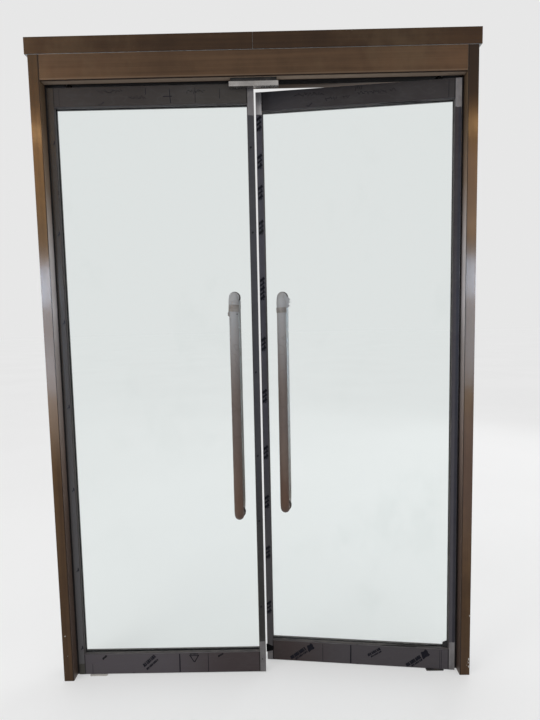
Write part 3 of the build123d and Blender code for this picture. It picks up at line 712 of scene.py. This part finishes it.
def clouds(name, size, depth=2):
    """A cloudy texture for wrinkles, by the size of its lumps in metres."""
    texture = bpy.data.textures.new(name, "CLOUDS")
    texture.noise_scale = size
    texture.noise_depth = depth
    return texture


def settle(piece, side, slot, *replaced):
    """Hangs a finished leaf piece: the right leaf's stand ajar, and all ride on their leaf."""
    if side == "right":
        about = Matrix.Translation((PIVOT_X * MM, 0, 0))
        piece.data.transform(about @ Matrix.Rotation(-RIGHT_AJAR, 4, "Z") @ about.inverted())
    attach(piece, f"{side}_leaf")
    if replaced:
        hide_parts(*replaced)
    hold(piece)
    bpy.ops.object.shade_smooth_by_angle(angle=radians(35))
    deselect()


# Ink on the film: plain bars, dots and ticks


def mark(x, z, length, width, angle, faint=False):
    """One printed bar: a strip with slightly uneven ends, turned in the film's plane."""
    deselect()
    bpy.ops.mesh.primitive_plane_add(size=1, location=(0, 0, 0))
    bar = take("bar")
    bar.data.transform(Matrix.Diagonal((length * MM, width * MM, 1, 1)))
    edit(bar, lambda part: True)
    bpy.ops.mesh.subdivide(number_cuts=2)
    bpy.ops.object.mode_set(mode="OBJECT")
    skew = 0.12 * min(length, width) * MM
    for index, vertex in enumerate(bar.data.vertices):
        vertex.co.x += skew * ((index * 7) % 5 - 2) / 2
        vertex.co.y += skew * ((index * 3) % 5 - 2) / 3
    lay = Matrix.Translation((x * MM, -(LEAF_FACE + FILM + INK_LIFT) * MM, z * MM))
    stand = Matrix.Rotation(pi / 2, 4, "X")
    bar.data.transform(lay @ stand @ Matrix.Rotation(radians(angle), 4, "Z"))
    coat(bar, FAINT_INK if faint else INK)
    return bar


def bar_row(x, z, length, angle, count, height, width):
    """Upright bars evenly spaced along a slanting line."""
    step = length / count
    run, rise = cos(radians(angle)), sin(radians(angle))
    return [
        mark(
            x + run * step * (i + 0.5),
            z + rise * step * (i + 0.5),
            width * (1 if i % 3 else 1.7),
            height,
            angle,
        )
        for i in range(count)
    ]


def lock_prints(x, heights, long_at=(), faint_at=()):
    """Groups of slanting bars up the lock stile's film."""
    marks = []
    for z in heights:
        faint = z in faint_at
        reach = 100 if z in long_at else 62
        bars = 5 if z in long_at else 3
        for i in range(bars):
            level = z - reach / 2 + reach * (i + 0.5) / bars
            marks.append(mark(x, level, 25, 8 if i % 2 else 11, 38, faint))
            marks.append(mark(x + 4, level - 8, 9, 4, 38, faint))
    return marks


def left_hinge_marks():
    marks = []
    for z in (2380, 2005, 1628, 1257, 883, 509, 136):
        marks.append(mark(-842.5, z, 5, 13, 12))
        marks.append(mark(-848, z - 7, 9, 3.5, 50))
    return marks


def left_lock_marks():
    return [mark(-18, z, 9, 7, 35, True) for z in (2343, 1992, 1393, 1020, 722, 318)]


def right_lock_marks():
    heights = (2470, 2310, 2178, 2028, 1759, 1512, 1275, 1014, 780, 537, 267)
    return lock_prints(15, heights, long_at=(1759,), faint_at=(2028,))


def left_bottom_marks():
    marks = [
        mark(-801, 32, 1.6, 48, 0),
        mark(-398, 53, 5, 92, 0),
        mark(-267, 53, 2.5, 92, 0),
        mark(-744, 86, 26, 9, 40, True),
        mark(-209, 89, 28, 8, 30, True),
        mark(-612, 9, 7, 4, 0),
        mark(-75, 9, 8, 4, 0),
        mark(-342, 74, 40, 4.2, -60),
        mark(-320, 74, 40, 4.2, 60),
        mark(-331, 88, 42, 3.6, 0),
    ]
    marks += bar_row(-566, 42, 74, 42, 8, 17, 5.5)
    marks += bar_row(-552, 25, 72, 42, 9, 10, 5)
    marks += bar_row(-350, 96, 38, 0, 6, 6, 4)
    return marks


def right_bottom_marks():
    marks = [
        mark(265, 53, 2, 92, 0),
        mark(395, 53, 5.5, 92, 0),
        mark(798, 53, 1.6, 92, 0),
        mark(805, 53, 1.6, 92, 0),
        mark(207, 76, 31, 29, 36),
        mark(732, 74, 34, 32, 36),
        mark(425, 9, 8, 4, 0),
    ]
    marks += bar_row(114, 18, 88, 37, 9, 17, 7)
    marks += bar_row(136, 14, 72, 37, 8, 10, 5)
    marks += bar_row(474, 53, 66, 33, 7, 13, 6)
    marks += bar_row(488, 46, 56, 33, 7, 8, 5)
    marks += bar_row(649, 14, 80, 37, 8, 17, 7)
    marks += bar_row(672, 12, 60, 37, 7, 10, 5)
    return marks


def pen_strokes(runs, seed):
    """Short pen dashes of uneven length and slant, in runs given by start, end and height."""
    chance = Random(seed)
    marks = []
    for start, end, level in runs:
        x = start
        while x < end - 4:
            reach = chance.uniform(7, 15)
            lean = chance.choice((-62, -35, 8, 48, 76))
            marks.append(mark(x + 4, level + chance.uniform(-4, 4), reach, 2.2, lean, True))
            x += chance.uniform(6, 9)
    return marks


def left_top_marks():
    marks = pen_strokes(((-652, -548, 2580), (-524, -452, 2554), (-282, -206, 2574)), 4)
    marks += [
        mark(-350, 2558, 2.6, 60, 4),
        mark(-360, 2556, 38, 3, 0),
        mark(-451, 2578, 2.2, 26, 0),
        mark(-245, 2558, 2, 62, 0, True),
        mark(-143, 2562, 2, 40, 0, True),
        mark(-813, 2560, 1.6, 70, 0, True),
        mark(-646, 2528, 9, 3, -45),
        mark(-634, 2533, 20, 3, 40),
    ]
    return marks


def right_top_marks():
    marks = pen_strokes(
        (
            (168, 292, 2576),
            (301, 356, 2552),
            (376, 402, 2556),
            (437, 556, 2568),
            (426, 458, 2588),
            (572, 594, 2572),
        ),
        9,
    )
    marks += [
        mark(226, 2529, 9, 3, -45),
        mark(238, 2534, 21, 3, 40),
        mark(811, 2560, 2, 70, 0),
    ]
    return marks


# The protective film


def film_piece(side, part, x_span, z_span, material, marks, torn=(0, 0), seed=1):
    """One profile's film, front and back: a thin sheet, finely cut, rippled and torn at its ends."""
    sign = 1 if side == "left" else -1
    low_x, high_x = sorted((sign * x_span[0], sign * x_span[1]))
    width, height = high_x - low_x, z_span[1] - z_span[0]
    spread = Matrix.Diagonal((width * MM, 1, height * MM, 1))
    chance = Random(seed)
    sheets = []
    for face in (-1, 1):
        face_y = face * (LEAF_FACE + FILM_LIFT)
        centre = Vector(((low_x + high_x) / 2 * MM, face_y * MM, sum(z_span) / 2 * MM))
        deselect()
        bpy.ops.mesh.primitive_grid_add(
            x_subdivisions=max(6, round(width / FILM_GRID)),
            y_subdivisions=max(6, round(height / FILM_GRID)),
            size=1,
            location=centre,
            rotation=(pi / 2, 0, pi if face > 0 else 0),
        )
        sheet = take("sheet")
        sheet.data.transform(Matrix.Translation(centre) @ spread @ Matrix.Translation(-centre))
        shifts = [chance.uniform(-1, 1) for _ in range(64)]
        for vertex in sheet.data.vertices:
            x, z = vertex.co.x / MM, vertex.co.z / MM
            shift = shifts[int((x - low_x) / 7) % 64]
            for end, reach in ((z_span[0], torn[0]), (z_span[1], torn[1])):
                near = max(0, 1 - abs(z - end) / (3 * reach)) if reach else 0
                inward = 1 if end == z_span[0] else -1
                vertex.co.z += near * inward * reach * (0.5 + 0.5 * shift) * MM
        group = sheet.vertex_groups.new(name="loose")
        for vertex in sheet.data.vertices:
            x, z = vertex.co.x / MM, vertex.co.z / MM
            edge = min(x - low_x, high_x - x, 14) / 14
            group.add([vertex.index], 0.35 + 0.65 * edge, "REPLACE")
        apply(
            sheet,
            "DISPLACE",
            texture=clouds(f"{side}_{part}_ripple", 0.045),
            texture_coords="LOCAL",
            strength=0.22 * MM,
            mid_level=0.2,
            vertex_group="loose",
        )
        apply(sheet, "SOLIDIFY", thickness=0.25 * MM, offset=1)
        coat(sheet, material)
        sheets.append(sheet)
    piece = joined(f"{side}_leaf_{part}_film", sheets + marks)
    node = f"{part}_film" if part.endswith("rail") else f"{part}_stile_film"
    settle(piece, side, "protective_film", f"{side}_{node}")


def make_films():
    """The film of both leaves, whose tones differ by side and along each profile."""
    upper_tone = {"left": paint(60, 52, 45), "right": paint(54, 48, 50)}
    lower_tone = {"left": paint(88, 86, 87), "right": paint(80, 77, 82)}
    lock_tones = {
        "left": (paint(52, 50, 49), paint(62, 61, 64)),
        "right": (paint(84, 81, 83), paint(82, 79, 86)),
    }
    top_tones = {
        "left": (paint(55, 50, 48), paint(62, 58, 55)),
        "right": (paint(62, 59, 61), paint(52, 48, 48)),
    }
    bottom_tones = {
        "left": (paint(84, 79, 83), paint(68, 60, 61)),
        "right": (paint(64, 55, 54), paint(75, 71, 74)),
    }
    for side, lock_marks, top_marks, bottom_marks in (
        ("left", left_lock_marks, left_top_marks, left_bottom_marks),
        ("right", right_lock_marks, right_top_marks, right_bottom_marks),
    ):
        stiles = STILE_FILM_Z[side]
        film_piece(
            side,
            "hinge",
            HINGE_FILM,
            stiles["hinge"],
            film_finish(
                f"{side}_hinge_film",
                lower_tone[side],
                upper_tone[side],
                2,
                (200, 2200),
                side,
                strip_x=851 if side == "right" else None,
            ),
            left_hinge_marks() if side == "left" else [],
            (9, 0 if side == "left" else 8),
            3,
        )
        film_piece(
            side,
            "lock",
            LOCK_FILM,
            stiles["lock"],
            film_finish(f"{side}_lock_film", *lock_tones[side], 2, (500, 1100), side),
            lock_marks(),
            (7, 6),
            5,
        )
        rail_span = (-500, -150) if side == "left" else (60, 420)
        ends = (-836, -30) if side == "left" else (30, 836)
        for end, z_span, tones, rail_marks, seed in (
            ("bottom", BOTTOM_RAIL_Z, bottom_tones[side], bottom_marks, 7),
            ("top", TOP_RAIL_Z, top_tones[side], top_marks, 9),
        ):
            finish = film_finish(f"{side}_{end}_film", *tones, 0, rail_span, side, joints=ends)
            film_piece(side, f"{end}_rail", RAIL_FILM, z_span, finish, rail_marks(), seed=seed)


# The paper sleeves on the pulls


def sleeve(side, front):
    """A ring of paper drawn out along the leg, spun round each bend and pulled up the grip."""
    x = (-PULL_X if side == "left" else PULL_X) * MM
    out = -1 if front else 1
    deselect()
    bpy.ops.mesh.primitive_circle_add(
        vertices=36,
        radius=SLEEVE_RADIUS * MM,
        fill_type="NOTHING",
        location=(x, out * SLEEVE_START_Y * MM, PULL_LOW * MM),
        rotation=(pi / 2, 0, 0),
    )
    tube = take("tube")
    edit(tube, lambda part: True)
    leg = (PULL_Y - PULL_BEND - SLEEVE_START_Y) * MM
    grip = (PULL_HIGH - PULL_LOW - 2 * PULL_BEND) * MM
    bend_y = out * (PULL_Y - PULL_BEND) * MM

    def draw(vector, steps):
        for _ in range(steps):
            bpy.ops.mesh.extrude_region_move(
                TRANSFORM_OT_translate={"value": [part / steps for part in vector]}
            )

    def bend(centre_z):
        bpy.ops.mesh.spin(
            steps=9, angle=-pi / 2 * out, center=(x, bend_y, centre_z * MM), axis=(1, 0, 0)
        )

    draw((0, out * leg, 0), 2)
    bend(PULL_LOW + PULL_BEND)
    draw((0, 0, grip), 110)
    bend(PULL_HIGH - PULL_BEND)
    draw((0, -out * leg, 0), 2)
    bpy.ops.mesh.select_all(action="SELECT")
    bpy.ops.mesh.remove_doubles(threshold=1e-6)
    bpy.ops.mesh.normals_make_consistent(inside=False)
    bpy.ops.object.mode_set(mode="OBJECT")
    return tube


def off_centre(point, x, out):
    """The direction away from the pull's centre line at a point on the sleeve."""
    low, high = (PULL_LOW + PULL_BEND) * MM, (PULL_HIGH - PULL_BEND) * MM
    grip_y, bend_y = out * PULL_Y * MM, out * (PULL_Y - PULL_BEND) * MM
    if low <= point.z <= high:
        middle = Vector((x, grip_y, point.z))
    else:
        centre = Vector((x, bend_y, low if point.z < low else high))
        if (point.y - bend_y) * out > 0:
            arm = Vector((0, point.y - centre.y, point.z - centre.z)).normalized()
            middle = centre + arm * PULL_BEND * MM
        else:
            middle = Vector((x, point.y, (PULL_LOW if point.z < low else PULL_HIGH) * MM))
    return (point - middle).normalized()


def make_sleeve(side, front):
    """One pull's paper, creased and swollen at its top; tape and scraps are on the front ones."""
    x = (-PULL_X if side == "left" else PULL_X) * MM
    out = -1 if front else 1
    tube = sleeve(side, front)
    chance = Random(11 if side == "left" else 23)
    laps = [(chance.uniform(780, 1650), chance.uniform(0, 2 * pi)) for _ in range(9)]
    for vertex in tube.data.vertices:
        point = vertex.co.copy()
        away = off_centre(point, x, out)
        z = point.z / MM
        swell = 1.3 * min(1, max(0, (z - 1662) / 26))
        round_angle = (Vector((away.x, away.y)).angle_signed(Vector((1, 0)), 0.0)) % (2 * pi)
        crease = 0
        for lap_z, lap_angle in laps:
            slant = (round_angle - lap_angle + pi) % (2 * pi) - pi
            distance = abs(z - lap_z - 30 * slant)
            crease -= 0.5 * max(0, 1 - distance / 9) * max(0, 1 - abs(slant) / 2)
        vertex.co += away * (swell + crease) * MM
    apply(
        tube,
        "DISPLACE",
        texture=clouds(f"{side}_sleeve_ripple", 0.05, 1),
        texture_coords="LOCAL",
        strength=0.6 * MM,
        mid_level=0.4,
    )
    apply(tube, "SOLIDIFY", thickness=0.7 * MM, offset=-1)
    coat(tube, PAPER if front else PAINTED_LIGHT_REAR_PAPER)
    extras = []
    if front:
        extras = left_tape_and_tag(x) if side == "left" else right_torn_flap(x)
    where = "front" if front else "rear"
    piece = joined(f"{side}_leaf_{where}_pull_paper", [tube] + extras)
    settle(piece, side, "paper_wrap", f"{side}_{where}_pull_wrap")


def tape_ring(x, low, high, tilt):
    """A turn of tape round the sleeve: a short tube with thickness, slightly skewed."""
    deselect()
    bpy.ops.mesh.primitive_cylinder_add(
        vertices=40,
        radius=(SLEEVE_RADIUS + 1.9) * MM,
        depth=(high - low) * MM,
        end_fill_type="NOTHING",
        location=(x, -PULL_Y * MM, (low + high) / 2 * MM),
        rotation=(0, tilt, 0),
    )
    ring = take("tape")
    edit(ring, lambda part: True)
    bpy.ops.mesh.subdivide(number_cuts=3)
    bpy.ops.object.mode_set(mode="OBJECT")
    apply(
        ring,
        "DISPLACE",
        texture=clouds("tape_ripple", 0.012),
        texture_coords="LOCAL",
        strength=0.8 * MM,
        mid_level=0.5,
    )
    apply(ring, "SOLIDIFY", thickness=0.5 * MM, offset=-1)
    coat(ring, TAPE)
    return ring


def scrap(x, y, z, width, height, turn, seed, material, curl):
    """A torn scrap: a fine grid with a ragged outline, curled and given thickness."""
    chance = Random(seed)
    rows = 14
    deselect()
    bpy.ops.mesh.primitive_grid_add(
        x_subdivisions=10, y_subdivisions=rows, size=1, location=(0, 0, 0)
    )
    piece = take("scrap")
    ragged = [chance.uniform(0.55, 1) for _ in range(40)]
    for vertex in piece.data.vertices:
        across, up = vertex.co.x + 0.5, vertex.co.y
        reach = ragged[int((up + 0.5) * rows)]
        narrow = 1 - 0.75 * abs(up * 2) ** 3
        along = across * reach * narrow * width
        vertex.co = Vector(
            (
                along,
                curl * along * along / width + chance.uniform(-0.4, 0.4),
                up * height * (1 - 0.12 * across),
            )
        ) * MM
    piece.data.transform(
        Matrix.Translation(Vector((x, y, z)) * MM) @ Matrix.Rotation(turn, 4, "Z")
    )
    apply(piece, "SOLIDIFY", thickness=0.5 * MM, offset=0)
    apply(piece, "SUBSURF", levels=1, render_levels=1)
    coat(piece, material)
    return piece


def left_tape_and_tag(x):
    ring = tape_ring(x, 1657, 1686, 0.05)
    tag = scrap(-PULL_X - 18, -PULL_Y - 8, 1648, 8, 26, pi, 5, TAPE, 0.5)
    tab = scrap(-PULL_X + 13, -PULL_Y - 18, 1646, 7, 5, 0.5, 8, TORN_TAPE, 0.2)
    return [ring, tag, tab]


def right_torn_flap(x):
    flap = scrap(PULL_X + 14, -PULL_Y - 6, 1694, 32, 66, 0.25, 3, PAPER, 0.3)
    under = scrap(PULL_X + 13, -PULL_Y + 2, 1690, 22, 50, 0.55, 9, PAPER, 0.4)
    ring = tape_ring(x, 1650, 1672, -0.04)
    return [flap, under, ring]


# Brushes, and what else is on the leaves


def make_brush(side):
    """A carrier strip and rows of bristle clumps, made from one clump."""
    deselect()
    bristles = []
    for i in range(5):
        lean = (i - 2) * 0.12
        bpy.ops.mesh.primitive_cone_add(
            vertices=4,
            radius1=0.45 * MM,
            radius2=0.75 * MM,
            depth=3.4 * MM,
            location=((BRUSH_X[0] + 2 + 0.35 * i) * MM, (-3 + 0.35 * (i % 3)) * MM, 2.75 * MM),
            rotation=(lean * 0.6, lean, 0),
        )
        bristles.append(take(f"bristle{i}"))
    clump = joined("clump", bristles)
    length = BRUSH_X[1] - BRUSH_X[0]
    pitch, row_pitch = 3.4, 2.5
    for count, offset in (
        (int((length - 4) / pitch), (pitch * MM, 0, 0)),
        (3, (0, row_pitch * MM, 0)),
    ):
        apply(
            clump,
            "ARRAY",
            count=count,
            use_relative_offset=False,
            use_constant_offset=True,
            constant_offset_displace=offset,
        )
    deselect()
    centre = Vector(((BRUSH_X[0] + BRUSH_X[1]) / 2 * MM, 0, 4.5 * MM))
    bpy.ops.mesh.primitive_cube_add(size=1, location=centre)
    strip = take("strip")
    strip.data.transform(
        Matrix.Translation(centre)
        @ Matrix.Diagonal((length * MM, 8 * MM, 0.9 * MM, 1))
        @ Matrix.Translation(-centre)
    )
    apply(strip, "BEVEL", width=0.25 * MM, segments=2)
    piece = joined(f"{side}_leaf_bottom_brush_strip", [strip, clump])
    coat(piece, FIBRE)
    if side == "right":
        piece.data.transform(Matrix.Diagonal((-1, 1, 1, 1)))
        piece.data.flip_normals()
    settle(piece, side, "brush_fibre", f"{side}_bottom_brush")


def make_torn_patch():
    """A torn patch of black tape at the foot of the right lock stile."""
    patch = scrap(-2, -(LEAF_FACE + 1), 63, 46, 42, 0, 14, TORN_TAPE, 0.03)
    patch.name = "right_leaf_torn_tape"
    settle(patch, "right", "black_rubber")


def make_glass_wedge():
    """A rubber wedge left in the right glass's lower outer corner."""
    deselect()
    bpy.ops.mesh.primitive_cube_add(size=1, location=(0, 0, 0))
    wedge = take("right_leaf_glass_wedge")
    wedge.data.transform(Matrix.Diagonal((22 * MM, 7 * MM, 32 * MM, 1)))
    edit(wedge, lambda part: part.normal.x < -0.9, "FACE")
    bpy.ops.mesh.inset(thickness=2 * MM, depth=-1.5 * MM)
    bpy.ops.object.mode_set(mode="OBJECT")
    for vertex in wedge.data.vertices:
        if vertex.co.x < 0 and vertex.co.z > 0:
            vertex.co.z -= 10 * MM
    apply(wedge, "BEVEL", width=1.2 * MM, segments=3)
    wedge.data.transform(Matrix.Translation(Vector((823, -9.5, 122)) * MM))
    coat(wedge, RUBBER)
    settle(wedge, "right", "black_rubber")


def make_flecks():
    """Dry paint splashed on the jamb feet, each a low uneven dome."""
    domes = []
    spots = (
        (916, 281, 1.8, 3.5),
        (914.5, 75, 2, 6),
        (913, 58, 1.8, 4),
        (915, 40, 2.2, 5),
        (911, 66, 1.2, 1.6),
        (907, 47, 1, 1.4),
        (-905, 215, 1.8, 3),
        (-898, 120, 1, 1.5),
    )
    segments = 14
    for i, (x, z, half_width, half_height) in enumerate(spots):
        deselect()
        bpy.ops.mesh.primitive_uv_sphere_add(
            segments=segments, ring_count=8, radius=1, location=(0, 0, 0)
        )
        dome = take(f"dome{i}")
        chance = Random(40 + i)
        swell = [chance.uniform(0.7, 1.2) for _ in range(segments)]
        for vertex in dome.data.vertices:
            turn = int(vertex.co.angle(Vector((1, 0, 0))) / pi * (segments - 1))
            vertex.co.x *= swell[turn]
            vertex.co.z *= swell[-turn - 1]
        dome.data.transform(
            Matrix.Translation(Vector((x, FRAME_FRONT, z)) * MM)
            @ Matrix.Diagonal((half_width * MM, 0.35 * MM, half_height * MM, 1))
        )
        domes.append(dome)
    piece = joined("jamb_paint_flecks", domes)
    coat(piece, FLECKS)
    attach(piece, "frame")
    hold(piece)
    bpy.ops.object.shade_smooth()
    deselect()


make_films()
for leaf_side in ("left", "right"):
    make_brush(leaf_side)
    for is_front in (True, False):
        make_sleeve(leaf_side, is_front)
make_torn_patch()
make_glass_wedge()
make_flecks()


# The studio

SURROUND = 0.8
WORLD_LIGHT = 0.8
FLOOR_TONE = 0.5


def studio_floor():
    """A pale floor that keeps shadows; rays that see it far off find the surround's own tone."""
    deselect()
    bpy.ops.mesh.primitive_circle_add(vertices=128, radius=60, fill_type="NGON", location=(0, 0, 0))
    floor = take("studio_floor")
    pale = Finish("studio_floor", Roughness=0.9, Specular_IOR_Level=0.0, Emission_Strength=1.0)
    grain = pale.noise((0.5, 0.5, 0.5)).step(0.3, 0.7)
    dim, bright = ((tone, tone, tone, 1) for tone in (FLOOR_TONE - 0.01, FLOOR_TONE + 0.01))
    pale.colour(pale.mix(grain, dim, bright))
    seen = pale.node("ShaderNodeLightPath", output="Is Camera Ray")
    for path in ("Is Glossy Ray", "Is Transmission Ray"):
        seen = seen.sum("MAXIMUM", seen, pale.node("ShaderNodeLightPath", output=path))
    lift = SURROUND - FLOOR_TONE * WORLD_LIGHT
    pale.feed("Emission Color", pale.mix(seen, (0, 0, 0, 1), (lift, lift, lift, 1)))
    coat(floor, pale.material)


def studio_world():
    """An even pale surround, which lights the object plainly and is seen in a tone of its own."""
    world = bpy.data.worlds.new("studio")
    bpy.context.scene.world = world
    world.use_nodes = True
    tree = world.node_tree
    tree.nodes.clear()
    lit = tree.nodes.new("ShaderNodeBackground")
    lit.inputs[0].default_value = (1, 1, 1, 1)
    lit.inputs[1].default_value = WORLD_LIGHT
    seen = tree.nodes.new("ShaderNodeBackground")
    seen.inputs[0].default_value = (SURROUND, SURROUND, SURROUND, 1)
    seen.inputs[1].default_value = 1
    path = tree.nodes.new("ShaderNodeLightPath")
    either = path.outputs["Is Camera Ray"]
    for name in ("Is Glossy Ray", "Is Transmission Ray"):
        most = tree.nodes.new("ShaderNodeMath")
        most.operation = "MAXIMUM"
        tree.links.new(either, most.inputs[0])
        tree.links.new(path.outputs[name], most.inputs[1])
        either = most.outputs[0]
    mixed = tree.nodes.new("ShaderNodeMixShader")
    tree.links.new(either, mixed.inputs[0])
    tree.links.new(lit.outputs[0], mixed.inputs[1])
    tree.links.new(seen.outputs[0], mixed.inputs[2])
    out = tree.nodes.new("ShaderNodeOutputWorld")
    tree.links.new(mixed.outputs[0], out.inputs[0])


def lamp(name, place, target, size, power, colour, spread=pi):
    data = bpy.data.lights.new(name, "AREA")
    data.shape = "RECTANGLE"
    data.size, data.size_y = size
    data.energy = power
    data.color = colour
    data.spread = spread
    light = bpy.data.objects.new(name, data)
    light.location = place
    light.rotation_euler = (Vector(target) - Vector(place)).to_track_quat("-Z", "Y").to_euler()
    light.visible_transmission = False
    bpy.context.scene.collection.objects.link(light)
    return light


def studio_lamps():
    """Two soft lamps off to the sides, and for each jamb three panels that it mirrors."""
    lamp("front_lamp", (-4.2, -3.4, 3.6), (0, 0, 1.3), (2.2, 2.2), 50, (1, 0.98, 0.95))
    back = lamp("back_lamp", (3.4, 4.0, 3.4), (0, 0, 1.3), (2.4, 2.4), 40, (0.97, 0.98, 1))
    back.visible_glossy = False
    for side, x, strength in ((-1, -2.14, 1.0), (1, 2.05, 0.88)):
        for name, z, aim_z, height, power, colour in (
            ("sky", 1.97, 1.97, 0.36, 2.2, (0.62, 0.78, 1)),
            ("low", 1.35, 1.35, 0.8, 1.3, (0.55, 0.74, 1)),
            ("warm", 3.36, 2.4, 0.1, 0.42, (1, 0.62, 0.28)),
        ):
            lamp(
                f"{name}_panel_{side + 1}",
                (x, -2.5, z),
                (0.9 * side, 0, aim_z),
                (0.42, height),
                power * strength,
                colour,
                radians(60),
            )


studio_floor()
studio_world()
studio_lamps()
bpy.context.scene.view_settings.view_transform = "Standard"
